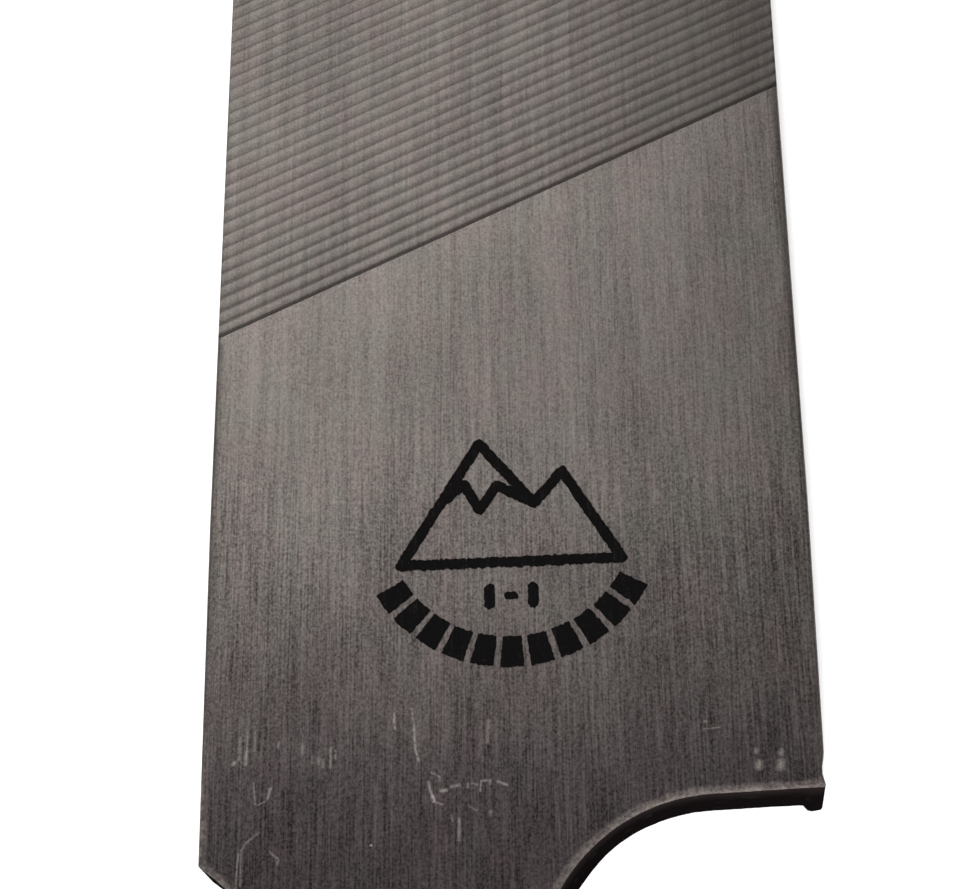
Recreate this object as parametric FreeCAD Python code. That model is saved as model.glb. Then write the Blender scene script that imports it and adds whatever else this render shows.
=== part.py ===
import FreeCAD, Part
import math
import os

# A flat, single-cut steel file for tuning ski and snowboard edges, with a bare tang and a printed mark.
# Millimetres. +Y runs from the tang to the tip, +X is to the right and +Z is up, out of the marked face.
# The file lies on its back face. The origin is the centre of its footprint on the surface it lies on.
# Until the last step everything is placed from the right shoulder: y is 0 there, and z is 0 on the back face.

Vector = FreeCAD.Vector
UP = Vector(0, 0, 1)

# Blade
blade_width = 25.0
blade_length = 200.0           # right shoulder to tip
blade_thickness = 3.0
arris_bevel = 0.2              # on the four long arrises
tip_bevel = 0.4                # on the two arrises at the tip
heel_draw = 0.12               # each edge draws in by this much at the shoulders
heel_draw_length = 12.0        # and starts to this far from the right shoulder

# Shoulders and tang
shoulder_radius = 7.4          # both hollow shoulders
shoulder_rise = 0.13           # a hollow's straight end climbs this much on its way to the corner
left_shoulder_drop = 1.2       # the left hollow lies this much nearer to the tang's point
tang_axis_x = -4.1             # the tang stands left of the blade's middle
tang_root_width = 9.9
tang_point_width = 3.2
tang_length = 58.0             # right shoulder to the tang's blunt point
tang_point_thickness = 2.0
tang_taper_start = 14.0        # full thickness down to this far from the right shoulder

# Teeth, the same on both faces as each is looked at
teeth_per_cm = 17.2            # counted square to the teeth
tooth_angle = 24.4             # from straight across, rising to the right
tooth_depth = 0.2
tooth_front_share = 0.12       # shares of a tooth's pitch: the steep front, then the floor of the gullet
tooth_floor_share = 0.16
crest_drop = 0.02              # the crests lie this much below the plain heel
heel_length = 26.4             # right shoulder to the first tooth, on the middle line

# Printed mark
ink_thickness = 0.04
mark_axis_x = 0.2              # the mark stands right of the blade's middle
mark_rise = 5.3                # right shoulder to the lowest point of the mark
arc_radius = 6.4               # outer radius of the curved row
arc_height = 1.3
arc_half_angle = 62.0
arc_blocks = 11
arc_gap_share = 0.22           # share of each block's angle that is left bare
dash_rise = 1.2                # bare steel between the curved row and the dashes
dash_height = 1.1
dash_spacing = 0.9             # middle dash to each upright bar
dash_half_length = 0.135       # of the middle dash, between the centres of its round ends
dash_width = 0.315
emblem_gap = 0.7               # bare steel between the dashes and the emblem
emblem_width = 9.6
emblem_height = 5.8
stroke_width = 0.45

# The emblem's turning points, as shares of its half width (from its middle) and of its height (from its foot)
main_peak_across = -0.28
saddle_share = (0.22, 0.48)
second_peak_share = (0.48, 0.74)
snow_left_up = 0.52            # where the snow line leaves the main peak's left flank
snow_zigzag = [(-0.42, 0.66), (-0.28, 0.44), (-0.12, 0.64)]

clearance = 1.0                # how far cutting tools stand out past what they cut

# Worked out from the sizes above
half_width = blade_width / 2
tooth_slope = math.tan(math.radians(tooth_angle))
tooth_pitch = 10.0 / teeth_per_cm / math.cos(math.radians(tooth_angle))
mark_z = blade_thickness
arc_centre_y = mark_rise + arc_radius
dash_low_y = mark_rise + arc_height + dash_rise
emblem_low_y = dash_low_y + dash_height + emblem_gap


def shoulder_points(side):
    """Corner, top of the hollow, its middle and its end at the tang, for side +1 (right) or -1 (left)."""
    drop = shoulder_rise if side > 0 else left_shoulder_drop
    corner_x = half_width - heel_draw
    tang_x = tang_root_width / 2 + side * tang_axis_x
    centre_x = tang_x + shoulder_radius
    centre_y = -drop - shoulder_radius
    # The hollow starts at its highest point, or where the blade's edge cuts it off.
    start_x = min(centre_x, corner_x)
    start_angle = math.acos((start_x - centre_x) / shoulder_radius)
    middle_angle = (start_angle + math.pi) / 2
    points = []
    for angle in (start_angle, middle_angle, math.pi):
        x = centre_x + shoulder_radius * math.cos(angle)
        y = centre_y + shoulder_radius * math.sin(angle)
        points.append(Vector(side * x, y, 0))
    corner_y = points[0].y
    if start_x < corner_x:
        corner_y += shoulder_rise
    return Vector(side * corner_x, corner_y, 0), points


def outline_face():
    """The file's outline on the back face, from the tip round the right shoulder to the tang and back."""
    right_corner, right_hollow = shoulder_points(1)
    left_corner, left_hollow = shoulder_points(-1)
    point_y = -tang_length
    corners = [
        Vector(-half_width, blade_length, 0),
        Vector(half_width, blade_length, 0),
        Vector(half_width, heel_draw_length, 0),
        right_corner,
        right_hollow[0],
    ]
    edges = lines_through(corners)
    edges.append(Part.Arc(*right_hollow).toShape())
    tang = [
        right_hollow[2],
        Vector(tang_axis_x + tang_point_width / 2, point_y, 0),
        Vector(tang_axis_x - tang_point_width / 2, point_y, 0),
        left_hollow[2],
    ]
    edges += lines_through(tang)
    edges.append(Part.Arc(*reversed(left_hollow)).toShape())
    left_edge = [left_hollow[0], left_corner, Vector(-half_width, heel_draw_length, 0), corners[0]]
    edges += lines_through(left_edge)
    return Part.Face(Part.Wire(Part.__sortEdges__(edges)))


def lines_through(points):
    """Straight edges from each point to the next, leaving out any of no length."""
    edges = []
    for start, end in zip(points, points[1:]):
        if start.distanceToPoint(end) > 1e-6:
            edges.append(Part.makeLine(start, end))
    return edges


def bevel_edges(solid):
    """Bevels the long arrises of the blade and then the two at the tip."""
    long_edges = [edge for edge in flat_edges(solid)
                  if edge.BoundBox.XLength < 1e-6 and edge.BoundBox.YMax > blade_length - 1e-6]
    solid = solid.makeChamfer(arris_bevel, long_edges)
    tip_edges = [edge for edge in flat_edges(solid)
                 if edge.BoundBox.YMin > blade_length - 1e-6 and edge.BoundBox.XLength > blade_width / 2]
    return solid.makeChamfer(tip_bevel, tip_edges)


def flat_edges(solid):
    """The edges that lie level."""
    return [edge for edge in solid.Edges if edge.BoundBox.ZLength < 1e-6]


def side_profile():
    """The file seen from its edge: even blade, then a tang that thins evenly to its point."""
    point_inset = (blade_thickness - tang_point_thickness) / 2
    left_x = -half_width - clearance
    corners = [
        Vector(left_x, blade_length + clearance, 0),
        Vector(left_x, -tang_taper_start, 0),
        Vector(left_x, -tang_length, point_inset),
        Vector(left_x, -tang_length, blade_thickness - point_inset),
        Vector(left_x, -tang_taper_start, blade_thickness),
        Vector(left_x, blade_length + clearance, blade_thickness),
    ]
    face = Part.Face(Part.makePolygon(corners + corners[:1]))
    return face.extrude(Vector(blade_width + 2 * clearance, 0, 0))


def tooth_comb():
    """What the teeth of the marked face leave out: a saw-toothed slab, drawn slanting across the blade."""
    start_x = -half_width - clearance
    start_y = heel_length + start_x * tooth_slope
    crest_z = blade_thickness - crest_drop
    floor_z = blade_thickness - tooth_depth
    top_z = blade_thickness + clearance
    # The slab starts low enough on the left to reach the tip all the way across.
    teeth = math.ceil((blade_length + clearance - start_y) / tooth_pitch)
    corners = [Vector(start_x, start_y, top_z), Vector(start_x, start_y, crest_z)]
    for tooth in range(teeth):
        front_y = start_y + tooth * tooth_pitch
        floor_start_y = front_y + tooth_front_share * tooth_pitch
        floor_end_y = floor_start_y + tooth_floor_share * tooth_pitch
        corners.append(Vector(start_x, floor_start_y, floor_z))
        corners.append(Vector(start_x, floor_end_y, floor_z))
        corners.append(Vector(start_x, front_y + tooth_pitch, crest_z))
    corners.append(Vector(start_x, corners[-1].y, top_z))
    face = Part.Face(Part.makePolygon(corners + corners[:1]))
    across = blade_width + 2 * clearance
    return face.extrude(Vector(across, across * tooth_slope, 0))


def file_blank():
    """Blade, heel, shoulders and tang: one piece of steel with teeth cut in both faces."""
    blank = outline_face().extrude(UP * blade_thickness)
    blank = bevel_edges(blank)
    blank = blank.common(side_profile())
    marked_face_comb = tooth_comb()
    # Turned half a turn about the blade's own middle line, the same comb cuts the back face.
    back_face_comb = marked_face_comb.copy()
    back_face_comb.rotate(Vector(0, 0, blade_thickness / 2), Vector(0, 1, 0), 180)
    return blank.cut(marked_face_comb).cut(back_face_comb)


def bar(start, end, width):
    """A round-ended bar of ink from one point to another, as thick as the print."""
    run = end - start
    aside = run.cross(UP).normalize() * (width / 2)
    outline = Part.makePolygon([start + aside, end + aside, end - aside, start - aside, start + aside])
    box = Part.Face(outline).extrude(UP * ink_thickness)
    ends = [Part.makeCylinder(width / 2, ink_thickness, point, UP) for point in (start, end)]
    return box.fuse(ends).removeSplitter()


def stroke(points, width):
    """One drawn line of ink through the given points."""
    bars = [bar(start, end, width) for start, end in zip(points, points[1:])]
    return bars[0].fuse(bars[1:])


def ink_emblem():
    """Two plain mountain peaks in outline over a ground line."""
    reach = (emblem_width - stroke_width) / 2
    height = emblem_height - stroke_width

    def at(across, up):
        return Vector(mark_axis_x + across * reach, emblem_low_y + stroke_width / 2 + up * height, mark_z)

    saddle = at(*saddle_share)
    outline = [at(-1, 0), at(main_peak_across, 1), saddle, at(*second_peak_share), at(1, 0), at(-1, 0)]
    peaks = stroke(outline, stroke_width)
    # The snow line crosses the main peak in a zigzag, from its left flank to the saddle.
    flank_across = main_peak_across - (main_peak_across + 1) * (1 - snow_left_up)
    snow_line = [at(flank_across, snow_left_up)] + [at(*share) for share in snow_zigzag] + [saddle]
    return peaks.fuse(stroke(snow_line, stroke_width)).removeSplitter()


def ink_dashes():
    """An upright bar, a short dash and another upright bar, in one line."""
    pieces = []
    for x in (mark_axis_x - dash_spacing, mark_axis_x + dash_spacing):
        low = Vector(x, dash_low_y + stroke_width / 2, mark_z)
        high = Vector(x, dash_low_y + dash_height - stroke_width / 2, mark_z)
        pieces.append(bar(low, high, stroke_width))
    middle_y = dash_low_y + dash_height / 2
    left = Vector(mark_axis_x - dash_half_length, middle_y, mark_z)
    right = Vector(mark_axis_x + dash_half_length, middle_y, mark_z)
    pieces.append(bar(left, right, dash_width))
    return Part.makeCompound(pieces)


def ink_arc():
    """A row of plain blocks round the lower part of a circle."""
    centre = Vector(mark_axis_x, arc_centre_y, mark_z)
    inner_radius = arc_radius - arc_height
    step = 2 * arc_half_angle / arc_blocks
    half_block = step * (1 - arc_gap_share) / 2
    blocks = []
    for number in range(arc_blocks):
        middle = -90.0 - arc_half_angle + (number + 0.5) * step
        first = middle - half_block
        last = middle + half_block
        sector = Part.makeCylinder(arc_radius, ink_thickness, centre, UP, last - first)
        sector.rotate(centre, UP, first)
        blocks.append(sector.cut(Part.makeCylinder(inner_radius, ink_thickness, centre, UP)))
    return Part.makeCompound(blocks)


def main():
    nodes = {
        "file_blank": file_blank(),
        "ink_emblem": ink_emblem(),
        "ink_dashes": ink_dashes(),
        "ink_arc": ink_arc(),
    }
    middle_y = (blade_length - tang_length) / 2
    os.makedirs("parts", exist_ok=True)
    for name, shape in nodes.items():
        shape.translate(Vector(0, -middle_y, 0))
        shape.exportStep("parts/" + name + ".step")
        box = shape.BoundBox
        print(name, "solids", len(shape.Solids), "valid", shape.isValid(), "volume", round(shape.Volume, 3),
              "x", round(box.XMin, 3), round(box.XMax, 3), "y", round(box.YMin, 3), round(box.YMax, 3),
              "z", round(box.ZMin, 3), round(box.ZMax, 3))


main()
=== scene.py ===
import math

import bmesh
import bpy
from mathutils import Matrix, Vector, noise


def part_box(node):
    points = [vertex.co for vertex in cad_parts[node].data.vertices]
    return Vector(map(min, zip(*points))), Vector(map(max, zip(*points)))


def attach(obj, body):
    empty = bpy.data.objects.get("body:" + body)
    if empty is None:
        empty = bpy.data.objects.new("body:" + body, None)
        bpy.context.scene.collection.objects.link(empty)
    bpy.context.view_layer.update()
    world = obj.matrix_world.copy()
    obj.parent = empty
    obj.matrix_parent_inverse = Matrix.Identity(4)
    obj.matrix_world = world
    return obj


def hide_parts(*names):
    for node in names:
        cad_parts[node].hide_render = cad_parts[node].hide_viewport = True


# A worn flat file for tuning ski edges, seen close at its heel: the steel blank with its teeth, shoulders
# and tang as one fine mesh, and the printed mark as three patches of rough-edged ink. Shapes are worked out
# in millimetres from the right shoulder (y = 0) and the back face (z = 0), and to_frame places them.

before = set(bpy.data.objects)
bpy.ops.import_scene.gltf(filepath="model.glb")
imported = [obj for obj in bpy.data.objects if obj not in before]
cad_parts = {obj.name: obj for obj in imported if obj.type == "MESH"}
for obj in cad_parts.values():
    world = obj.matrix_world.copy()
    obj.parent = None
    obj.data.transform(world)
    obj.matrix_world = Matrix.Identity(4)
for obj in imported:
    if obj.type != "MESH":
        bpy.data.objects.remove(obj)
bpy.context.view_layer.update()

MM = 0.001
blank_low, blank_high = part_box("file_blank")

# Sizes that the frame gives
HALF = (blank_high[0] - blank_low[0]) / MM / 2
THICK = (blank_high[2] - blank_low[2]) / MM
BLADE = 200.0
SHOULDER_Y = blank_high[1] / MM - BLADE
TANG = SHOULDER_Y - blank_low[1] / MM

# The outline, as in the CAD model
HOLLOW_RADIUS = 7.4
SHOULDER_RISE = 0.13
LEFT_DROP = 1.2
TANG_X = -4.1
TANG_ROOT = 9.9
TANG_POINT = 3.2
POINT_THICK_SHARE = 2.0 / 3.0
TAPER_START = 14.0
HEEL_DRAW = 0.12
HEEL_DRAW_LENGTH = 12.0

# The teeth, as in the CAD model
TOOTH_SLOPE = math.tan(math.radians(24.4))
TOOTH_PITCH = 10.0 / 17.2 / math.cos(math.radians(24.4))
TOOTH_DEPTH = 0.05                           # worn and part filled, so shallower than cut
CREST_DROP = 0.02
HEEL = 26.4
LEFT_START = HEEL - HALF * TOOTH_SLOPE       # first tooth at the edge where the rows begin lower
RIGHT_START = HEEL + HALF * TOOTH_SLOPE      # and at the edge where they begin higher
# One tooth from crest to crest: share of the pitch, and share of the depth below the crest
TOOTH_PROFILE = [(0.05, 0.5), (0.12, 0.88), (0.2, 1.0), (0.29, 0.88), (0.38, 0.5),
                 (0.48, 0.18), (0.62, 0.03), (0.8, 0.0), (0.94, 0.1)]

EDGE_RADIUS = 0.15                           # rounding of the long arrises beside the teeth
WEAR_BAND = 0.22                             # strip of worn steel inside each arris of the heel
ROUNDING = [0.0, 30.0, 60.0, 90.0]           # degrees round an arris, from the wall to the face
LEVEL_WEAR = [0.2, 0.5, 0.55, 0.55, 0.0]     # how bare each ring round the heel is worn
INNER_COLUMNS = 24                           # across a row of teeth, between the worn strips
TIP_BEVEL = 0.4

# How the real blank differs from the drawn one
HEEL_ARRIS = 0.13                            # rounding of the heel's arrises, which small nicks vary
LEFT_ARRIS = 0.17                            # and of the two long edges beside the heel
RIGHT_ARRIS = 0.12
TANG_ARRIS = 0.55
HOLLOW_LEAN = 0.17                           # how far the right hollow's wall leans out, and down
HOLLOW_SAG = 0.09
BURR = 0.29                                  # hangs below the right shoulder's end
NICK = 0.1                                   # bitten out of the right edge just above it
TOOTH_WANDER = 0.03                          # how far a tooth strays from a straight line
CREST_WORN = 0.012                           # most that wear takes off a crest
CREST_CHIP = 0.02                            # depth of a chipped place
FIRST_GULLET_SHADE_AND_DIRT = 1.7                             # painted shade and dirt in the first gullet, where 1 is the usual


def wobble(x, y, z=0.0):
    """Smooth repeatable noise from about -1 to 1."""
    return noise.noise(Vector((x + 0.37, y + 0.71, z + 0.13)))


def smooth_step(low, high, value):
    """0 below low, 1 above high, and an even S between them."""
    t = min(max((value - low) / (high - low), 0.0), 1.0)
    return t * t * (3 - 2 * t)


def to_frame(x, y, z):
    """A place in millimetres from the right shoulder, as a place in the frame."""
    return Vector((x * MM, (y + SHOULDER_Y) * MM, blank_low[2] + z * MM))


# ---------------------------------------------------------------- outline of the heel and the tang

class Station:
    """A place on the outline. A corner's stations turn round a hub and share one line inside it."""

    def __init__(self, point, inward, wall, hub=None, mitre=None, hub_radius=0.0):
        self.point = point
        self.inward = inward
        self.wall = wall                     # 0 on the ground long edges, 1 on the shoulders and tang
        self.hub = hub
        self.mitre = mitre
        self.hub_radius = hub_radius

    def inset(self, distance):
        """The point this far inside the outline."""
        if self.hub is None or distance < self.hub_radius:
            return self.point + self.inward * distance
        return self.hub + self.mitre * (distance - self.hub_radius)


def spread(start, end, spacing, start_gap, end_gap, wall):
    """Stations along a straight stretch, clear of its ends by the gaps given."""
    run = end - start
    along = run.normalized()
    inward = Vector((-along.y, along.x))
    usable = run.length - start_gap - end_gap
    count = max(1, round(usable / spacing))
    places = [start + along * (start_gap + usable * i / count) for i in range(count + 1)]
    return [Station(place, inward, wall) for place in places]


def hollow(centre, first, last, spacing):
    """Stations round a hollow shoulder, whose wall faces the hollow's centre."""
    count = round(abs(last - first) * HOLLOW_RADIUS / spacing)
    stations = []
    for i in range(1, count):
        angle = first + (last - first) * i / count
        spoke = Vector((math.cos(angle), math.sin(angle)))
        stations.append(Station(centre + spoke * HOLLOW_RADIUS, spoke, 1.0))
    return stations


def corner(before, point, after, radius, steps):
    """Stations round an outward corner."""
    into = (point - before).normalized()
    out = (after - point).normalized()
    turn = math.acos(max(-1.0, min(1.0, into.dot(out))))
    side = Vector((-into.y, into.x))
    hub = point - into * radius * math.tan(turn / 2) + side * radius
    mitre = (hub - point).normalized() / math.cos(turn / 2)
    stations = []
    for i in range(steps + 1):
        spoke = -side
        spoke.rotate(Matrix.Rotation(turn * i / steps, 2))
        stations.append(Station(hub + spoke * radius, -spoke, 1.0, hub, mitre, radius))
    return stations


def heel_outline():
    """Stations from the left edge, just below its first tooth, round the tang to the right edge."""
    edge_x = HALF - HEEL_DRAW
    left_centre = Vector((TANG_X - TANG_ROOT / 2 - HOLLOW_RADIUS, -LEFT_DROP - HOLLOW_RADIUS))
    right_centre = Vector((TANG_X + TANG_ROOT / 2 + HOLLOW_RADIUS, -SHOULDER_RISE - HOLLOW_RADIUS))
    left_angle = math.acos((-edge_x - left_centre.x) / HOLLOW_RADIUS)
    left_corner = left_centre + Vector((math.cos(left_angle), math.sin(left_angle))) * HOLLOW_RADIUS
    left_after = left_corner + Vector((math.sin(left_angle), -math.cos(left_angle)))
    left_top = Vector((-HALF, LEFT_START))
    left_draw = Vector((-HALF, HEEL_DRAW_LENGTH))
    right_top = Vector((HALF, LEFT_START))
    right_draw = Vector((HALF, HEEL_DRAW_LENGTH))
    right_corner = Vector((edge_x, 0.0))
    right_top_of_hollow = right_centre + Vector((0.0, HOLLOW_RADIUS))
    left_root = left_centre + Vector((HOLLOW_RADIUS, 0.0))
    right_root = right_centre - Vector((HOLLOW_RADIUS, 0.0))
    left_point = Vector((TANG_X - TANG_POINT / 2, -TANG))
    right_point = Vector((TANG_X + TANG_POINT / 2, -TANG))
    left_taper = along_to(left_root, left_point, -TAPER_START)
    right_taper = along_to(right_root, right_point, -TAPER_START)
    # Each hollow keeps this angle clear of the sharp end where it meets the blade's edge.
    clear = 0.6 / HOLLOW_RADIUS
    stations = spread(left_top, left_draw, 0.7, 0.3, 0.0, 0.0)
    stations += spread(left_draw, left_corner, 0.3, 0.3, 0.5, 0.0)
    stations += corner(left_draw, left_corner, left_after, 0.12, 4)
    stations += hollow(left_centre, left_angle - clear, 0.0, 0.16)
    stations += spread(left_root, left_taper, 0.5, 0.0, 0.0, 1.0)
    stations += spread(left_taper, left_point, 1.0, 1.0, 2.4, 1.0)
    stations += corner(left_taper, left_point, right_point, 1.1, 8)
    stations += corner(left_point, right_point, right_taper, 1.1, 8)
    stations += spread(right_point, right_taper, 1.0, 2.4, 1.0, 1.0)
    stations += spread(right_taper, right_root, 0.5, 0.0, 0.0, 1.0)
    stations += hollow(right_centre, math.pi, math.pi / 2, 0.16)
    stations += spread(right_top_of_hollow, right_corner, 0.16, 0.1, 0.45, 1.0)
    stations += corner(right_top_of_hollow, right_corner, right_draw, 0.1, 4)
    stations += spread(right_corner, right_draw, 0.3, 0.5, 0.3, 0.0)
    stations += spread(right_draw, right_top, 0.7, 0.0, 0.3, 0.0)
    return stations


def along_to(start, end, y):
    """The point at height y on the line from start to end."""
    return start + (end - start) * ((y - start.y) / (end.y - start.y))


def arris_radius(station, face):
    """How far the arris is rounded: crisp with small nicks on the heel, soft on the forged tang."""
    x, y = station.point
    nicks = wobble(x * 1.7, y * 1.7, face * 5.0) * 0.5 + wobble(x * 5.1, y * 5.1, face * 9.0) * 0.5
    heel = HEEL_ARRIS + 0.09 * nicks
    if station.wall == 0.0:
        # The left edge is eased more towards its shoulder, as if dragged over a bench.
        low = (LEFT_ARRIS if x < 0 else RIGHT_ARRIS) + 0.03 * nicks
        heel = low + (EDGE_RADIUS - low) * smooth_step(-1.0, 6.0, y)
    tang = TANG_ARRIS + 0.1 * wobble(x * 0.8, y * 0.8, face * 3.0)
    down_the_tang = smooth_step(-TAPER_START + 8.0, -TAPER_START - 4.0, y)
    return heel + (tang - heel) * down_the_tang


def arris_wear(station):
    """How bare the arris is worn: all round the shoulders, and most of all low down on the left edge."""
    x, y = station.point
    if station.wall:
        return 1.0
    if x > 0:
        return 0.3
    return 0.35 + 1.6 * (1 - smooth_step(-1.0, 5.0, y))


def forged(x, y, height):
    """Where a place on the outline ends up on the real blank, whose shoulders aren't quite square."""
    low = 1 - smooth_step(0.3, THICK, height)
    # The right hollow's wall stands out towards the back, most where it turns down into the tang.
    round_turn = smooth_step(-0.8, -3.2, y) * (1 - smooth_step(-8.0, -13.0, y))
    round_turn *= smooth_step(-2.0, 0.0, x)
    x += HOLLOW_LEAN * low * round_turn
    y -= HOLLOW_SAG * low * round_turn
    if x > HALF - 1.6 and y < 2.0:
        # A burr hangs from the back arris at the corner, and the front one is nicked just above it.
        under = 1 - smooth_step(0.2, 1.5, height)
        hanging = smooth_step(HALF - 0.95, HALF - 0.65, x) * (1 - 0.5 * smooth_step(HALF - 0.35, HALF, x))
        y -= BURR * under * hanging * (1 - smooth_step(0.2, 0.9, y))
        bitten = smooth_step(0.15, 0.45, y) * (1 - smooth_step(0.9, 1.25, y))
        x -= NICK * bitten * smooth_step(-1.0, -0.3, x - HALF)
    return x, y


# ---------------------------------------------------------------- the blank as one mesh

class Blank:
    """Collects the blank's vertices, faces and tones. Face +1 is the marked one and -1 the back."""

    def __init__(self):
        self.mesh = bmesh.new()
        self.tone = self.mesh.verts.layers.float_color.new("tone")

    def vertex(self, x, y, z, face, wear=0.0, gullet=0.0):
        """A vertex at height z above that face's own back, with its tones."""
        across = THICK / 2
        x, y = forged(x, y, z if face > 0 else THICK - z)
        share = 1.0
        if y < -TAPER_START:
            share = 1.0 - (1.0 - POINT_THICK_SHARE) * (-TAPER_START - y) / (TANG - TAPER_START)
        height = across + face * (z - across) * share
        made = self.mesh.verts.new(to_frame(x, y, height))
        made[self.tone] = (wear, gullet, 0.0, 1.0)
        return made

    def surface(self, corners, material=0):
        made = self.mesh.faces.new(corners)
        made.material_index = material
        made.smooth = True


def ring(blank, station, face):
    """The vertices across the arris at one station, from the wall in to the flat face."""
    radius = arris_radius(station, face)
    worn = arris_wear(station)
    vertices = []
    for level, degrees in enumerate(ROUNDING):
        angle = math.radians(degrees)
        point = station.inset(radius * (1 - math.cos(angle)))
        height = THICK - radius * (1 - math.sin(angle))
        vertices.append(blank.vertex(point.x, point.y, height, face, LEVEL_WEAR[level] * worn))
    point = station.inset(radius + WEAR_BAND)
    vertices.append(blank.vertex(point.x, point.y, THICK, face, LEVEL_WEAR[-1] * worn))
    return vertices


def column_places():
    """How far each column of a row of teeth lies from the row's first edge."""
    near = [EDGE_RADIUS * (1 - math.cos(math.radians(degrees))) for degrees in ROUNDING]
    near.append(EDGE_RADIUS + WEAR_BAND)
    width = 2 * HALF
    inner_width = width - 2 * near[-1]
    inner = [near[-1] + inner_width * i / (INNER_COLUMNS + 1) for i in range(1, INNER_COLUMNS + 1)]
    return near + inner + [width - place for place in reversed(near)]


def arris_drop(place):
    """How far the rounded long arris lies below the face, this far from the row's first edge."""
    from_edge = min(place, 2 * HALF - place)
    if from_edge >= EDGE_RADIUS:
        return 0.0
    return EDGE_RADIUS - math.sqrt(EDGE_RADIUS ** 2 - (EDGE_RADIUS - from_edge) ** 2)


def row_offsets():
    """Every row of the teeth: how far past the first it lies, how deep it is and which tooth it is on."""
    rows = [(0.0, -1.0, 0)]
    teeth = math.ceil((BLADE + 1.0 - LEFT_START) / TOOTH_PITCH)
    for tooth in range(teeth):
        for share, depth in TOOTH_PROFILE:
            rows.append(((tooth + share) * TOOTH_PITCH, depth, tooth))
    return rows


def tooth_rows(blank, face):
    """Rows of vertices along the teeth of one face, each from that face's own left edge to its right."""
    rows = []
    for offset, depth, tooth in row_offsets():
        row = []
        for place in column_places():
            y = LEFT_START + offset + place * TOOTH_SLOPE
            if depth < 0.0:
                # The first row is the end of the plain heel.
                row.append(blank.vertex(face * (place - HALF), y, THICK - arris_drop(place), face))
                continue
            edge = smooth_step(0.0, 0.6, min(place, 2 * HALF - place))
            y += TOOTH_WANDER * wobble(place * 0.45, tooth * 0.61, face * 7.0) * edge
            # Crests are worn unevenly along each tooth, and a few are chipped.
            crest = CREST_WORN * max(0.0, wobble(place * 1.3, tooth * 0.9, 4.0 + face))
            chip = CREST_CHIP * smooth_step(0.5, 0.75, wobble(place * 2.1, tooth * 1.7, 8.0 + face))
            low = CREST_DROP + TOOTH_DEPTH * depth * (1 + 0.25 * wobble(place * 0.4, tooth * 0.8, 2.0))
            low += (crest + chip) * (1 - depth)
            height = THICK - max(low, arris_drop(place))
            # Painted shade and dirt lie thickest in the first gullets and to the right, and thin out up the
            # left side.
            shade_and_dirt = 1 - 0.55 * smooth_step(2.0, 22.0, tooth) * (1 - smooth_step(4.0, 18.0, place))
            if tooth == 0:
                shade_and_dirt = FIRST_GULLET_SHADE_AND_DIRT
            row.append(blank.vertex(face * (place - HALF), y, height, face, 0.0, depth * shade_and_dirt * 0.5))
        rows.append(row)
    return rows


def stitch(blank, first, second, material=0):
    """Quads between two lines of vertices of the same length."""
    for a, b, c, d in zip(first, first[1:], second[1:], second):
        blank.surface([a, b, c, d], material)


def heel_face(blank, rings, first_row, split_left, split_right):
    """The flat of the heel and of the tang, inside the rings and below the first row of teeth."""
    inner = [vertices[-1] for vertices in rings]
    across = first_row[len(ROUNDING):-len(ROUNDING)]
    heel = inner[:split_left + 1] + inner[split_right:] + across
    blank.surface(heel)
    blank.surface(inner[split_left:split_right + 1])


def make_blank():
    """The whole steel blank: heel, teeth on both faces, long edges, tip, shoulders and tang."""
    blank = Blank()
    core = heel_outline()
    top_rows = tooth_rows(blank, 1)
    back_rows = tooth_rows(blank, -1)
    # Beside the other face's first teeth, the plain heel carries on up to its own first tooth.
    heights = [LEFT_START + offset for offset, _, _ in row_offsets()]
    heights = [height for height in heights if height < RIGHT_START - 0.05]
    left_extra = [Station(Vector((-HALF, y)), Vector((1.0, 0.0)), 0.0) for y in reversed(heights)]
    right_extra = [Station(Vector((HALF, y)), Vector((-1.0, 0.0)), 0.0) for y in heights]
    on_taper = [i for i, station in enumerate(core) if station.point.y < -TAPER_START + 1e-6]
    split_left = min(i for i in on_taper if core[i].point.x < TANG_X)
    split_right = max(i for i in on_taper if core[i].point.x > TANG_X)
    top_rings = [ring(blank, station, 1) for station in core + right_extra]
    back_rings = [ring(blank, station, -1) for station in left_extra + core]
    inset_count = len(ROUNDING) + 1
    # Each strip runs from one end of the first row of teeth, round the heel and tang, to its other end.
    top_strip = [top_rows[0][:inset_count]] + top_rings + [top_rows[0][:-inset_count - 1:-1]]
    back_strip = [back_rows[0][:-inset_count - 1:-1]] + back_rings + [back_rows[0][:inset_count]]
    for strip in (top_strip, back_strip):
        for first, second in zip(strip, strip[1:]):
            stitch(blank, first, second)
    heel_face(blank, top_rings, top_rows[0][::-1], split_left, split_right)
    shift = len(left_extra)
    heel_face(blank, back_rings, back_rows[0], split_left + shift, split_right + shift)
    for rows in (top_rows, back_rows):
        for first, second in zip(rows, rows[1:]):
            stitch(blank, first, second)
    make_walls(blank, core, top_rings, back_rings, top_rows, back_rows, shift)
    cut_tip(blank)
    return finish_blank(blank)


def make_walls(blank, core, top_rings, back_rings, top_rows, back_rows, shift):
    """The long edges and the shoulders, between the outermost vertices of the two faces."""
    top = [vertices[0] for vertices in top_rings]
    back = [vertices[0] for vertices in back_rings]
    core_count = len(core)
    for index, station in enumerate(core[:-1]):
        material = 1 if station.wall and core[index + 1].wall else 0
        first = [top[index], top[index + 1]]
        second = [back[shift + index], back[shift + index + 1]]
        stitch(blank, first, second, material)
    right_top = top[core_count - 1:] + [row[-1] for row in top_rows]
    right_back = [back[-1]] + [row[0] for row in back_rows]
    left_top = [top[0]] + [row[0] for row in top_rows]
    left_back = back[shift::-1] + [row[-1] for row in back_rows]
    for first, second in ((right_top, right_back), (left_top, left_back)):
        count = min(len(first), len(second))
        stitch(blank, first[:count], second[:count])


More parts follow.
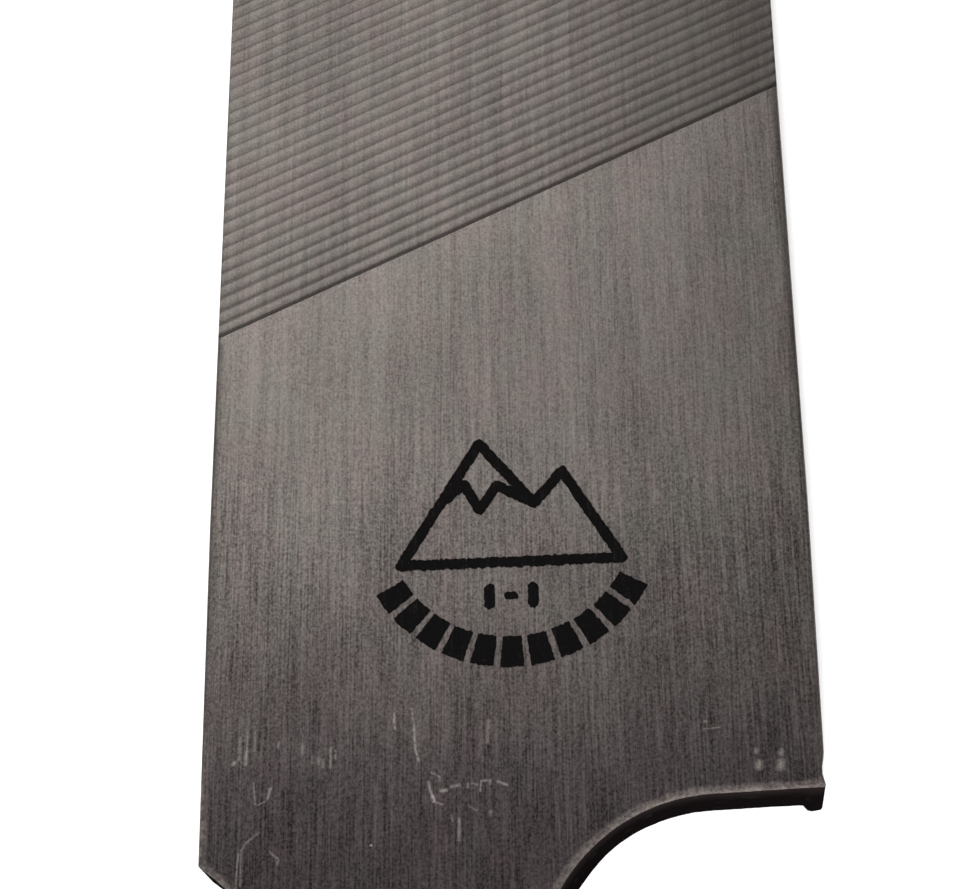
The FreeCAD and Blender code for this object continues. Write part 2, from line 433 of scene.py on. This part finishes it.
def cut_tip(blank):
    """Cuts the rows off square at the tip, with a small bevel on each face, and closes each cut."""
    mesh = blank.mesh
    cuts = [
        (to_frame(0, BLADE, 0), Vector((0, 1, 0))),
        (to_frame(0, BLADE - TIP_BEVEL, THICK), Vector((0, 1, 1))),
        (to_frame(0, BLADE - TIP_BEVEL, 0), Vector((0, 1, -1))),
    ]
    for place, normal in cuts:
        geometry = mesh.verts[:] + mesh.edges[:] + mesh.faces[:]
        bmesh.ops.bisect_plane(mesh, geom=geometry, plane_co=place, plane_no=normal.normalized(),
                               clear_outer=True, dist=1e-8)
        loose = [vertex for vertex in mesh.verts if not vertex.link_faces]
        bmesh.ops.delete(mesh, geom=loose, context="VERTS")
        open_edges = [edge for edge in mesh.edges if edge.is_boundary]
        on_cut = [edge for edge in open_edges
                  if all(abs((vertex.co - place).dot(normal)) < 1e-7 for vertex in edge.verts)]
        made = bmesh.ops.holes_fill(mesh, edges=on_cut, sides=0)
        for face in made["faces"]:
            face.smooth = True


def finish_blank(blank):
    """Merges doubled vertices, closes slivers, turns every face outwards and returns the object."""
    mesh = blank.mesh
    bmesh.ops.remove_doubles(mesh, verts=mesh.verts[:], dist=2e-7)
    bmesh.ops.dissolve_degenerate(mesh, edges=mesh.edges[:], dist=1e-8)
    bmesh.ops.delete(mesh, geom=[edge for edge in mesh.edges if edge.is_wire], context="EDGES")
    gaps = [edge for edge in mesh.edges if edge.is_boundary]
    slivers = bmesh.ops.holes_fill(mesh, edges=gaps, sides=0)
    for face in slivers["faces"]:
        face.smooth = True
    bmesh.ops.recalc_face_normals(mesh, faces=mesh.faces[:])
    open_edges = [edge for edge in mesh.edges if not edge.is_manifold]
    print("blank: faces", len(mesh.faces), "open edges", len(open_edges))
    data = bpy.data.meshes.new("file_body")
    mesh.to_mesh(data)
    mesh.free()
    data.set_sharp_from_angle(angle=math.radians(34))
    body = bpy.data.objects.new("file_body", data)
    bpy.context.scene.collection.objects.link(body)
    flat = body.modifiers.new("flat_faces", "WEIGHTED_NORMAL")
    flat.keep_sharp = True
    flat.weight = 60
    return body


# ---------------------------------------------------------------- the printed mark

INK_STEP = 0.035               # spacing of the points round an ink patch
INK_LOW = -0.01                # ink runs from just inside the steel
INK_HIGH = 0.022               # to this far above it


def boundary_loops(mesh):
    """The outlines of a flat patch's upper side, in millimetres."""
    top = max(vertex.co.z for vertex in mesh.vertices)
    uses = {}
    for face in mesh.polygons:
        if all(abs(mesh.vertices[i].co.z - top) < 1e-6 for i in face.vertices):
            keys = [place_key(mesh.vertices[i].co) for i in face.vertices]
            for a, b in zip(keys, keys[1:] + keys[:1]):
                uses[(a, b)] = uses.get((a, b), 0) + 1
    following = {a: b for (a, b) in uses if (b, a) not in uses}
    loops = []
    while following:
        start, point = following.popitem()
        loop = [start]
        while point != start:
            loop.append(point)
            point = following.pop(point)
        loops.append([Vector((x / 1000.0, y / 1000.0)) for x, y in loop])
    return loops


def place_key(place):
    """A vertex's place in whole thousandths of a millimetre, so that split vertices meet again."""
    return round(place.x / MM * 1000), round(place.y / MM * 1000)


def bled(point, seed):
    """Where ink has crept along the ground lines: up and down in fine bristles, and a little all round."""
    bristle = wobble(point.x * 8.5, point.y * 0.9, seed) + 0.6 * wobble(point.x * 19.0, point.y * 2.0, seed)
    spread_x = wobble(point.x * 6.0, point.y * 6.0, seed + 3.0)
    spread_y = wobble(point.x * 6.0, point.y * 6.0, seed + 6.0)
    return point + Vector((0.035 * spread_x, 0.03 * spread_y + 0.06 * bristle))


def ink_patch(node, seed):
    """A rough-edged copy of one printed patch, that stands in for its CAD node."""
    mesh = bmesh.new()
    for loop in boundary_loops(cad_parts[node].data):
        points = []
        for start, end in zip(loop, loop[1:] + loop[:1]):
            count = max(1, round((end - start).length / INK_STEP))
            points += [start + (end - start) * (i / count) for i in range(count)]
        low = blank_high[2] + INK_LOW * MM
        ring_vertices = []
        for point in points:
            moved = bled(point, seed)
            ring_vertices.append(mesh.verts.new((moved.x * MM, moved.y * MM, low)))
        for a, b in zip(ring_vertices, ring_vertices[1:] + ring_vertices[:1]):
            mesh.edges.new((a, b))
    bmesh.ops.triangle_fill(mesh, edges=mesh.edges[:], use_beauty=True, use_dissolve=False)
    made = bmesh.ops.extrude_face_region(mesh, geom=mesh.faces[:])
    raised = [part for part in made["geom"] if isinstance(part, bmesh.types.BMVert)]
    bmesh.ops.translate(mesh, verts=raised, vec=(0, 0, (INK_HIGH - INK_LOW) * MM))
    bmesh.ops.recalc_face_normals(mesh, faces=mesh.faces[:])
    name = node.replace("ink_", "print_")
    data = bpy.data.meshes.new(name)
    mesh.to_mesh(data)
    mesh.free()
    patch = bpy.data.objects.new(name, data)
    bpy.context.scene.collection.objects.link(patch)
    return patch


# ---------------------------------------------------------------- materials

class Shader:
    """A material under construction, with short ways to add nodes."""

    def __init__(self, name):
        self.material = bpy.data.materials.new(name)
        self.material.use_nodes = True
        self.tree = self.material.node_tree
        self.surface = self.tree.nodes["Principled BSDF"]
        where = self.add("ShaderNodeTexCoord")
        self.place = self.add("ShaderNodeVectorMath", operation="SCALE")
        self.link(where.outputs["Object"], self.place.inputs[0])
        self.place.inputs["Scale"].default_value = 1.0 / MM
        self.mm = self.place.outputs[0]

    def add(self, kind, **settings):
        made = self.tree.nodes.new(kind)
        for key, value in settings.items():
            setattr(made, key, value)
        return made

    def link(self, source, target):
        self.tree.links.new(source, target)

    def put(self, value, socket):
        """Sets a socket to a number or a colour, or links it."""
        if isinstance(value, bpy.types.NodeSocket):
            self.link(value, socket)
        elif socket.type == "RGBA":
            socket.default_value = (*value, 1.0)
        else:
            socket.default_value = value

    def noise(self, scale, detail=3.0, rough=0.55, offset=0.0):
        """Noise with this many lumps to the millimetre along x, y and z."""
        stretch = self.add("ShaderNodeVectorMath", operation="MULTIPLY_ADD")
        self.link(self.mm, stretch.inputs[0])
        stretch.inputs[1].default_value = scale
        stretch.inputs[2].default_value = (offset, offset * 1.7, offset * 0.6)
        made = self.add("ShaderNodeTexNoise")
        self.link(stretch.outputs[0], made.inputs["Vector"])
        made.inputs["Scale"].default_value = 1.0
        made.inputs["Detail"].default_value = detail
        made.inputs["Roughness"].default_value = rough
        return made.outputs["Fac"]

    def math(self, operation, a, b=0.0, clamp=False):
        made = self.add("ShaderNodeMath", operation=operation, use_clamp=clamp)
        self.put(a, made.inputs[0])
        self.put(b, made.inputs[1])
        return made.outputs[0]

    def range(self, value, low, high, to_low=0.0, to_high=1.0, smooth=True):
        kind = "SMOOTHSTEP" if smooth else "LINEAR"
        made = self.add("ShaderNodeMapRange", interpolation_type=kind, clamp=not smooth)
        self.put(value, made.inputs["Value"])
        made.inputs["From Min"].default_value = low
        made.inputs["From Max"].default_value = high
        made.inputs["To Min"].default_value = to_low
        made.inputs["To Max"].default_value = to_high
        return made.outputs["Result"]

    def mix(self, share, a, b, blend="MIX"):
        made = self.add("ShaderNodeMix", data_type="RGBA", blend_type=blend)
        # A mix node also carries hidden sockets of the same names: these are the ones for colours.
        self.put(share, made.inputs[0])
        self.put(a, made.inputs[6])
        self.put(b, made.inputs[7])
        return made.outputs[2]

    def bump(self, height, depth_mm):
        """Relief whose full height is this many millimetres."""
        made = self.add("ShaderNodeBump")
        made.inputs["Strength"].default_value = 1.0
        made.inputs["Distance"].default_value = depth_mm * MM
        self.link(height, made.inputs["Height"])
        return made.outputs["Normal"]


# Scratches on the marked heel, in millimetres from the right shoulder: points, width and strength. Their
# places were picked by eye on the photo, and a helper script turned them into these rows, to 0.05 mm.
SCRATCHES = [
    ([(-10.85, 2.75), (-10.85, 1.85), (-11.1, 1.65)], 0.08, 0.25),
    ([(-11.1, 1.65), (-11.05, 1.7)], 0.14, 0.5),
    ([(-10.55, 2.95), (-10.55, 2.15)], 0.08, 0.22),
    ([(-10.55, 2.15), (-10.6, 1.65)], 0.12, 0.45),
    ([(-10.25, 2.95), (-10.25, 2.2)], 0.09, 0.2),
    ([(-9.25, 2.5), (-9.3, 2.3)], 0.09, 0.35),
    ([(-10.25, 0.85), (-10.15, 0.0)], 0.06, 0.35),
    ([(-10.05, -0.05), (-9.8, 0.05), (-9.65, 0.2)], 0.06, 0.3),
    ([(-9.65, 0.2), (-9.55, 0.6)], 0.1, 0.45),
    ([(-7.15, 2.2), (-7.15, 1.4)], 0.09, 0.38),
    ([(-6.95, 2.05), (-6.95, 1.75)], 0.08, 0.35),
    ([(-7.65, 1.75), (-7.65, 1.55)], 0.12, 0.28),
    ([(-7.45, 1.7), (-7.45, 1.4)], 0.1, 0.26),
    ([(-7.9, 1.85), (-7.9, 1.55)], 0.07, 0.24),
    ([(-8.3, 2.35), (-8.3, 2.0)], 0.1, 0.3),
    ([(-10.85, -4.3), (-10.8, -2.55), (-10.75, -2.0)], 0.07, 0.38),
    ([(-10.65, -3.25), (-10.65, -1.85), (-10.45, -1.55), (-10.2, -1.35), (-9.95, -1.15)], 0.08, 0.3),
    ([(-9.5, -1.95), (-9.15, -2.25), (-9.2, -2.5)], 0.08, 0.35),
    ([(-5.5, -1.8), (-5.45, -1.8)], 0.07, 0.9),
    ([(-4.6, 3.55), (-4.6, 3.1), (-4.55, 2.85)], 0.07, 0.5),
    ([(-3.9, 3.7), (-3.8, 3.0)], 0.08, 0.25),
    ([(-3.8, 3.0), (-3.75, 2.05), (-3.6, 1.55)], 0.08, 0.5),
    ([(-3.1, 1.05), (-2.75, 0.85), (-2.75, 0.7)], 0.07, 0.35),
    ([(-3.2, 0.65), (-3.15, 0.35), (-3.05, 0.1)], 0.09, 0.5),
    ([(-3.05, 0.1), (-3.0, -0.1)], 0.12, 0.95),
    ([(-2.95, -0.15), (-2.65, -0.25)], 0.06, 0.4),
    ([(-2.7, 0.3), (-2.5, 0.3)], 0.12, 0.6),
    ([(-2.3, 0.45), (-2.0, 0.5)], 0.11, 0.4),
    ([(-1.65, 0.55), (-1.65, 0.4)], 0.1, 0.35),
    ([(-1.45, 0.55), (-1.3, 0.5)], 0.1, 0.35),
    ([(-1.15, 0.25), (-1.1, 0.65), (-0.75, 0.65), (-0.75, 0.5)], 0.08, 0.45),
    ([(-0.45, 0.6), (-0.1, 0.45)], 0.1, 0.45),
    ([(-2.0, -0.85), (-2.0, -1.7)], 0.1, 0.4),
    ([(-2.3, -0.7), (-2.25, -0.95)], 0.06, 0.35),
    ([(-0.8, 3.1), (-0.85, 2.2)], 0.13, 0.3),
    ([(-0.75, -0.6), (-0.75, -0.7)], 0.11, 0.35),
    ([(-1.6, -0.35), (-1.3, -0.55)], 0.08, 0.25),
    ([(5.7, 6.4), (6.4, 6.85), (7.4, 7.15)], 0.2, 0.08),
    ([(7.8, 2.75), (7.85, 2.75)], 0.08, 0.7),
    ([(7.75, 2.45), (8.4, 2.5)], 0.05, 0.35),
    ([(9.8, 0.85), (9.85, 1.0)], 0.24, 0.6),
    ([(9.75, 1.45), (9.75, 1.55)], 0.14, 0.4),
    ([(10.65, 0.8), (10.7, 1.0)], 0.26, 0.6),
    ([(10.7, 1.35), (10.75, 1.45)], 0.18, 0.45),
]


def stroke_group():
    """A node group that says how much of a straight scratch covers a place."""
    group = bpy.data.node_groups.new("scratch_stroke", "ShaderNodeTree")
    face = group.interface
    for name, kind in (("Place", "Vector"), ("Start", "Vector"), ("Run", "Vector")):
        face.new_socket(name, in_out="INPUT", socket_type="NodeSocket" + kind)
    for name in ("Scale", "Width", "Strength"):
        face.new_socket(name, in_out="INPUT", socket_type="NodeSocketFloat")
    face.new_socket("Cover", in_out="OUTPUT", socket_type="NodeSocketFloat")
    nodes, links = group.nodes, group.links
    inside, outside = nodes.new("NodeGroupInput"), nodes.new("NodeGroupOutput")
    offset = nodes.new("ShaderNodeVectorMath")
    offset.operation = "SUBTRACT"
    links.new(inside.outputs["Place"], offset.inputs[0])
    links.new(inside.outputs["Start"], offset.inputs[1])
    along = nodes.new("ShaderNodeVectorMath")
    along.operation = "DOT_PRODUCT"
    links.new(offset.outputs[0], along.inputs[0])
    links.new(inside.outputs["Run"], along.inputs[1])
    share = along.outputs["Value"]
    # Held between the stroke's two ends by separate nodes: a clamp setting on each of so many strokes is
    # too much for one material.
    for operation, limit in (("MULTIPLY", inside.outputs["Scale"]), ("MAXIMUM", 0.0), ("MINIMUM", 1.0)):
        step = nodes.new("ShaderNodeMath")
        step.operation = operation
        links.new(share, step.inputs[0])
        if isinstance(limit, float):
            step.inputs[1].default_value = limit
        else:
            links.new(limit, step.inputs[1])
        share = step.outputs[0]
    nearest = nodes.new("ShaderNodeVectorMath")
    nearest.operation = "SCALE"
    links.new(inside.outputs["Run"], nearest.inputs[0])
    links.new(share, nearest.inputs["Scale"])
    gap = nodes.new("ShaderNodeVectorMath")
    gap.operation = "DISTANCE"
    links.new(offset.outputs[0], gap.inputs[0])
    links.new(nearest.outputs[0], gap.inputs[1])
    cover = nodes.new("ShaderNodeMapRange")
    cover.interpolation_type = "SMOOTHSTEP"
    cover.clamp = False
    links.new(gap.outputs["Value"], cover.inputs["Value"])
    links.new(inside.outputs["Width"], cover.inputs["From Max"])
    links.new(inside.outputs["Strength"], cover.inputs["To Min"])
    cover.inputs["To Max"].default_value = 0.0
    links.new(cover.outputs["Result"], outside.inputs["Cover"])
    return group


def scratch_cover(shader):
    """How much of the scratches covers each place on the marked face."""
    group = stroke_group()
    level = shader.add("ShaderNodeVectorMath", operation="MULTIPLY_ADD")
    shader.link(shader.mm, level.inputs[0])
    level.inputs[1].default_value = (1.0, 1.0, 0.0)
    level.inputs[2].default_value = (0.0, -SHOULDER_Y, 0.0)
    total = None
    for points, width, strength in SCRATCHES:
        for (x0, y0), (x1, y1) in zip(points, points[1:]):
            stroke = shader.add("ShaderNodeGroup", node_tree=group)
            shader.link(level.outputs[0], stroke.inputs["Place"])
            run = (x1 - x0, y1 - y0, 0.0)
            stroke.inputs["Start"].default_value = (x0, y0, 0.0)
            stroke.inputs["Run"].default_value = run
            stroke.inputs["Scale"].default_value = 1.0 / (run[0] ** 2 + run[1] ** 2)
            stroke.inputs["Width"].default_value = width
            stroke.inputs["Strength"].default_value = strength
            cover = stroke.outputs["Cover"]
            total = cover if total is None else shader.math("MAXIMUM", total, cover)
    height = shader.add("ShaderNodeSeparateXYZ")
    shader.link(shader.mm, height.inputs[0])
    on_face = shader.range(height.outputs["Z"], THICK - 0.1, THICK - 0.02)
    broken = shader.range(shader.noise((9.0, 9.0, 1.0), 2.0), 0.3, 0.55, 0.25, 1.0)
    return shader.math("MULTIPLY", shader.math("MULTIPLY", total, on_face), broken)


# Colours of the steel, and of what darkens it
STEEL_DARK = (0.055, 0.048, 0.044)
STEEL_LIGHT = (0.29, 0.26, 0.24)
STEEL_BARE = (0.33, 0.295, 0.255)
STEEL_SCRATCHED = (0.62, 0.56, 0.52)
STEEL_TINT_AND_SHADE = (0.51, 0.472, 0.53)           # heat tint and painted shade: multiplies the heel's lower half
TARNISH_WARM = (1.025, 0.985, 0.995)         # these two multiply patches
TARNISH_COOL = (0.98, 1.005, 0.99)
TEETH_LIT = (1.58, 1.58, 1.58)             # painted light: multiplies the teeth
# Painted shade that darkens the teeth towards the right
TEETH_RIGHT_SHADE = (0.07, 0.061, 0.058)
# Painted shade in the gullets, with some dirt
GULLET_SHADE_AND_DIRT = (0.03, 0.026, 0.024)
SCALE_DARK = (0.020, 0.018, 0.019)
# Forged skin of the walls, made darker still as painted shade
SHADED_SKIN_BLACK = (0.0015, 0.0011, 0.0012)
SHADED_SKIN_DARK = (0.004, 0.0031, 0.0033)
SHADED_SKIN_RUBBED = (0.016, 0.0125, 0.0115)
INK_BLACK = (0.0015, 0.0012, 0.0014)
INK_DARK = (0.004, 0.0036, 0.0036)
INK_THIN = (0.02, 0.018, 0.017)


def ground_steel():
    """Steel ground lengthwise, dark towards the tang, with painted shade on the heel's lower half and in
    its gullets, worn bright on its arrises.
    """
    s = Shader("ground_steel")
    axes = s.add("ShaderNodeSeparateXYZ")
    s.link(s.mm, axes.inputs[0])
    fine = s.noise((11.0, 0.3, 11.0), 3.0, 0.6)
    streak = s.noise((2.6, 0.06, 2.6), 4.0, 0.6, 5.0)
    grain = s.noise((11.0, 9.0, 11.0), 2.0, 0.6, 9.0)
    cloud = s.noise((0.2, 0.12, 0.2), 3.0, 0.5, 3.0)
    # The heel's lower half is rougher to look at: more speckle and deeper lines.
    height = s.math("ADD", axes.outputs["Y"], s.math("MULTIPLY", s.math("SUBTRACT", cloud, 0.5), 6.0))
    coarse = s.range(height, SHOULDER_Y + 8.0, SHOULDER_Y + 20.0, 1.7, 1.0)
    shade = s.math("ADD", s.math("MULTIPLY", s.math("SUBTRACT", fine, 0.5), 0.95),
                   s.math("MULTIPLY", s.math("SUBTRACT", grain, 0.5), 1.05))
    past_heel = s.math("SUBTRACT", axes.outputs["Y"], s.math("MULTIPLY", axes.outputs["X"], TOOTH_SLOPE))
    in_teeth = s.range(past_heel, SHOULDER_Y + HEEL - 0.3, SHOULDER_Y + HEEL + 0.3)
    coarse = s.math("SUBTRACT", coarse, s.math("MULTIPLY", in_teeth, 0.3))
    shade = s.math("MULTIPLY", shade, coarse)
    shade = s.math("ADD", shade, s.math("MULTIPLY", s.math("SUBTRACT", streak, 0.5), 0.5))
    shade = s.math("ADD", shade, s.math("MULTIPLY", s.math("SUBTRACT", cloud, 0.5), 0.45))
    shade = s.math("ADD", shade, 0.5, clamp=True)
    color = s.mix(shade, STEEL_DARK, STEEL_LIGHT)
    # Painted shade with a heat tint: the heel's lower half is darkened and tinted purple-brown.
    tint_and_shade = s.range(height, SHOULDER_Y - 4.0, SHOULDER_Y + 15.0, 1.0, 0.0)
    color = s.mix(tint_and_shade, color, STEEL_TINT_AND_SHADE, "MULTIPLY")
    patches = s.range(s.noise((0.6, 0.3, 0.6), 2.0, 0.5, 12.0), 0.35, 0.65)
    tarnish = s.mix(patches, TARNISH_WARM, TARNISH_COOL)
    color = s.mix(1.0, color, tarnish, "MULTIPLY")
    # Painted light makes the teeth lighter than the heel, and painted shade darkens them towards the right.
    color = s.mix(in_teeth, color, TEETH_LIT, "MULTIPLY")
    # Painted shade on the teeth, growing towards the right.
    across = s.math("ADD", axes.outputs["X"], s.math("MULTIPLY", cloud, 6.0))
    right_shade = s.math("MULTIPLY", in_teeth, s.range(across, 3.0, 15.0, 0.0, 0.5))
    color = s.mix(right_shade, color, TEETH_RIGHT_SHADE)
    tone = s.add("ShaderNodeAttribute", attribute_name="tone")
    parts = s.add("ShaderNodeSeparateColor")
    s.link(tone.outputs["Color"], parts.inputs[0])
    wear, gullet = parts.outputs["Red"], parts.outputs["Green"]
    # The first few teeth, next to the heel, get the most painted shade and dirt.
    first = s.range(past_heel, SHOULDER_Y + HEEL, SHOULDER_Y + HEEL + 4.5, 1.35, 0.95)
    # Painted shade with some dirt, darkest where the gullets are deepest.
    shade_and_dirt = s.range(s.math("MULTIPLY", gullet, first), 0.0, 0.9, 0.0, 0.8, smooth=False)
    color = s.mix(shade_and_dirt, color, GULLET_SHADE_AND_DIRT)
    patchy = s.range(s.noise((4.5, 4.5, 4.5), 3.0, 0.6, 2.0), 0.42, 0.62, 0.25, 1.0)
    bare = s.math("MULTIPLY", s.math("MULTIPLY", wear, patchy), 0.7, clamp=True)
    color = s.mix(bare, color, STEEL_BARE)
    color = s.mix(scratch_cover(s), color, STEEL_SCRATCHED)
    scale = s.range(height, SHOULDER_Y - 9.0, SHOULDER_Y - 16.0)
    color = s.mix(s.math("MULTIPLY", scale, 0.92), color, SCALE_DARK)
    s.link(color, s.surface.inputs["Base Color"])
    s.surface.inputs["Metallic"].default_value = 1.0
    rough = s.math("ADD", 0.42, s.math("MULTIPLY", s.math("SUBTRACT", fine, 0.5), 0.25))
    rough = s.math("ADD", rough, s.math("MULTIPLY", in_teeth, 0.15))
    rough = s.math("ADD", rough, s.math("MULTIPLY", wear, 0.8))
    rough = s.math("ADD", rough, s.math("MULTIPLY", scale, 0.12), clamp=True)
    s.link(rough, s.surface.inputs["Roughness"])
    relief = s.math("ADD", s.math("MULTIPLY", fine, 0.6), s.math("MULTIPLY", grain, 0.4))
    pits = s.math("MULTIPLY", s.noise((1.6, 1.3, 1.6), 4.0, 0.6, 7.0), s.math("MULTIPLY", scale, 4.0))
    s.link(s.bump(s.math("ADD", relief, pits), 0.008), s.surface.inputs["Normal"])
    return s.material


def forged_wall():
    """The dark skin left on the shoulders' and tang's walls, darkened further as painted shade, rubbed
    lighter in places.
    """
    s = Shader("forged_wall")
    lumps = s.noise((1.4, 1.4, 2.2), 4.0, 0.6)
    grain = s.noise((8.0, 8.0, 8.0), 3.0, 0.6, 4.0)
    height = s.add("ShaderNodeSeparateXYZ")
    s.link(s.mm, height.inputs[0])
    # The skin is a little lighter towards the marked face.
    upper = s.range(height.outputs["Z"], THICK - 1.4, THICK, 0.0, 0.5)
    rubbed = s.math("ADD", upper, s.range(lumps, 0.58, 0.75, 0.0, 0.4), clamp=True)
    color = s.mix(grain, SHADED_SKIN_BLACK, SHADED_SKIN_DARK)
    color = s.mix(rubbed, color, SHADED_SKIN_RUBBED)
    s.link(color, s.surface.inputs["Base Color"])
    s.surface.inputs["Specular IOR Level"].default_value = 0.0
    s.link(s.range(lumps, 0.3, 0.7, 0.68, 0.55), s.surface.inputs["Roughness"])
    relief = s.math("ADD", lumps, s.math("MULTIPLY", grain, 0.3))
    s.link(s.bump(relief, 0.03), s.surface.inputs["Normal"])
    return s.material


def black_ink():
    """Matt black print, thin enough to take up a little of the ground lines below it."""
    s = Shader("black_ink")
    lines = s.noise((10.0, 0.5, 10.0), 3.0, 0.6)
    grain = s.noise((12.0, 12.0, 12.0), 2.0, 0.5, 6.0)
    thin = s.range(s.math("MULTIPLY", lines, grain), 0.30, 0.42)
    color = s.mix(grain, INK_BLACK, INK_DARK)
    color = s.mix(s.math("MULTIPLY", thin, 0.5), color, INK_THIN)
    s.link(color, s.surface.inputs["Base Color"])
    s.link(s.range(grain, 0.3, 0.7, 0.5, 0.72), s.surface.inputs["Roughness"])
    s.surface.inputs["Specular IOR Level"].default_value = 0.04
    relief = s.math("ADD", s.math("MULTIPLY", lines, 0.6), grain)
    s.link(s.bump(relief, 0.006), s.surface.inputs["Normal"])
    return s.material


def pale_floor():
    """A plain white sheet with the faintest unevenness."""
    s = Shader("pale_floor")
    shade = s.noise((0.05, 0.05, 0.05), 3.0)
    s.link(s.mix(shade, (0.91, 0.91, 0.91), (0.95, 0.95, 0.95)), s.surface.inputs["Base Color"])
    s.surface.inputs["Roughness"].default_value = 0.9
    s.surface.inputs["Specular IOR Level"].default_value = 0.1
    return s.material


# ---------------------------------------------------------------- the stage

FLOOR_HALF = 6.0                             # metres from the middle to each side
SKY_STRENGTH = 0.06
# Each light's way from the place it points at, its size and its power, in metres and watts
BACK_SOFTBOX = (Vector((-0.3, 0.8, 1.1)), (0.45, 0.45), 5.0)
FRONT_FILL = (Vector((0.0, -1.6, 1.1)), (0.5, 0.8), 80.0)
# The camera's lens and place, the place in the middle of its view, and the way that is up in it
LENS = 81.45
CAMERA_PLACE = to_frame(6.347, -21.463, THICK + 83.777)
CAMERA_AIM = to_frame(-1.030, 15.155, THICK)
CAMERA_UP = Vector((0.0446, 0.9168, 0.3968))


def area_light(name, way, size, power):
    """A soft white rectangular light that points at the heel."""
    aim = to_frame(0, 20, THICK)
    data = bpy.data.lights.new(name, "AREA")
    data.shape = "RECTANGLE"
    data.size, data.size_y = size
    data.energy = power
    lamp = bpy.data.objects.new(name, data)
    lamp.location = aim + way
    lamp.rotation_euler = (aim - lamp.location).to_track_quat("-Z", "Y").to_euler()
    bpy.context.scene.collection.objects.link(lamp)


def make_stage():
    """Floor, world and lights."""
    half = FLOOR_HALF
    data = bpy.data.meshes.new("floor")
    corners = [(-half, -half, 0), (half, -half, 0), (half, half, 0), (-half, half, 0)]
    data.from_pydata(corners, [], [(0, 1, 2, 3)])
    data.materials.append(pale_floor())
    floor = bpy.data.objects.new("floor", data)
    floor.location.z = blank_low[2]
    bpy.context.scene.collection.objects.link(floor)
    world = bpy.data.worlds.new("studio")
    world.use_nodes = True
    sky = world.node_tree.nodes["Background"]
    sky.inputs["Color"].default_value = (1.0, 1.0, 1.0, 1.0)
    sky.inputs["Strength"].default_value = SKY_STRENGTH
    bpy.context.scene.world = world
    area_light("back_softbox", *BACK_SOFTBOX)
    area_light("front_fill", *FRONT_FILL)


def make_camera():
    """Looks down on the heel from the tang's side, so close that the far end runs out of the frame."""
    data = bpy.data.cameras.new("camera")
    data.sensor_width = 36.0
    data.lens = LENS
    data.clip_start = 0.005
    camera = bpy.data.objects.new("camera", data)
    back = (CAMERA_PLACE - CAMERA_AIM).normalized()
    right = CAMERA_UP.cross(back).normalized()
    turn = Matrix((right, back.cross(right), back)).transposed()
    camera.matrix_world = Matrix.Translation(CAMERA_PLACE) @ turn.to_4x4()
    bpy.context.scene.collection.objects.link(camera)
    bpy.context.scene.camera = camera


def dress():
    """Makes the visible pieces, ties each to its body, hides the CAD node it stands in for, and gives each
    its materials.
    """
    body = make_blank()
    body.data.materials.append(ground_steel())
    body.data.materials.append(forged_wall())
    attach(body, "root")
    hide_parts("file_blank")
    ink = black_ink()
    for seed, node in enumerate(("ink_emblem", "ink_dashes", "ink_arc")):
        patch = ink_patch(node, seed * 11.0)
        patch.data.materials.append(ink)
        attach(patch, "root")
        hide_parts(node)


bpy.context.scene.view_settings.view_transform = "Standard"
make_stage()
make_camera()
dress()
